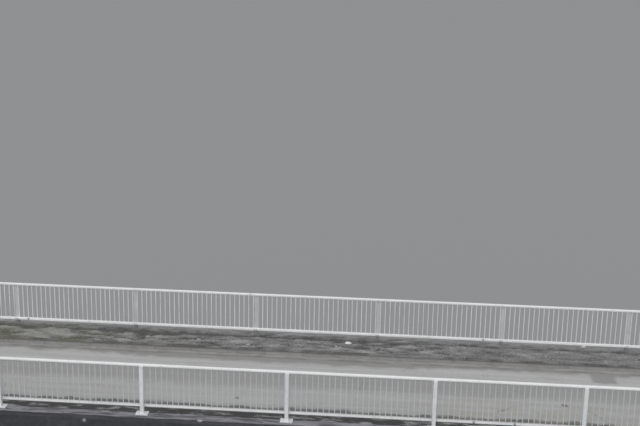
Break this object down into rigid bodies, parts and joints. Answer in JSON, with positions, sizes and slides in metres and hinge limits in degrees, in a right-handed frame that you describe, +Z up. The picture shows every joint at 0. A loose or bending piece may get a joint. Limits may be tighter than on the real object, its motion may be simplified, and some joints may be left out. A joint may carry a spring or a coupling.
{
  "type": "skew road overbridge span with bar parapets",
  "caption": "Skew concrete overbridge span: a narrow road between kerbs and verges, metal bar parapets on posts along both edges, rubber bearings and leaf piers.",
  "frame": {"origin": "on the ground, in the middle of the span in plan", "axes": "+X along the bridge, to the right in the picture; +Y across it, away from the camera; +Z up"},
  "size_m": [21.4862, 5.49, 8.1],
  "materials": {
    "deck_concrete": "board marked",
    "beam_concrete": "weathered, dark stained",
    "asphalt": "worn",
    "near_verge_concrete": "brushed",
    "verge_soil": "dirt on concrete",
    "kerb_concrete": "worn",
    "pier_concrete": "board marked",
    "bearing_rubber": "matt",
    "post_steel": "satin",
    "bar_steel": "satin",
    "rail_steel": "satin"
  },
  "bodies": {
    "root": {"deck_slab": "deck_concrete", "near_edge_beam": "beam_concrete", "far_edge_beam": "beam_concrete", "road_surface": "asphalt", "near_verge": "near_verge_concrete", "far_verge": "verge_soil", "near_kerb": "kerb_concrete", "far_kerb": "kerb_concrete", "left_pier": "pier_concrete", "right_pier": "pier_concrete", "bearings": "bearing_rubber", "near_post_1": "post_steel", "far_post_1": "post_steel", "near_post_2": "post_steel", "far_post_2": "post_steel", "near_post_3": "post_steel", "far_post_3": "post_steel", "near_post_4": "post_steel", "far_post_4": "post_steel", "near_post_5": "post_steel", "far_post_5": "post_steel", "near_post_6": "post_steel", "far_post_6": "post_steel", "near_post_7": "post_steel", "far_post_7": "post_steel", "near_panel_1": "bar_steel", "far_panel_1": "bar_steel", "near_panel_2": "bar_steel", "far_panel_2": "bar_steel", "near_panel_3": "bar_steel", "far_panel_3": "bar_steel", "near_panel_4": "bar_steel", "far_panel_4": "bar_steel", "near_panel_5": "bar_steel", "far_panel_5": "bar_steel", "near_panel_6": "bar_steel", "far_panel_6": "bar_steel", "near_top_rail_1": "rail_steel", "near_top_rail_2": "rail_steel", "far_top_rail_1": "rail_steel", "far_top_rail_2": "rail_steel", "near_bottom_rail_1": "rail_steel", "near_bottom_rail_2": "rail_steel", "near_bottom_rail_3": "rail_steel", "far_bottom_rail_1": "rail_steel", "far_bottom_rail_2": "rail_steel", "far_bottom_rail_3": "rail_steel"}
  },
  "joints": []
}
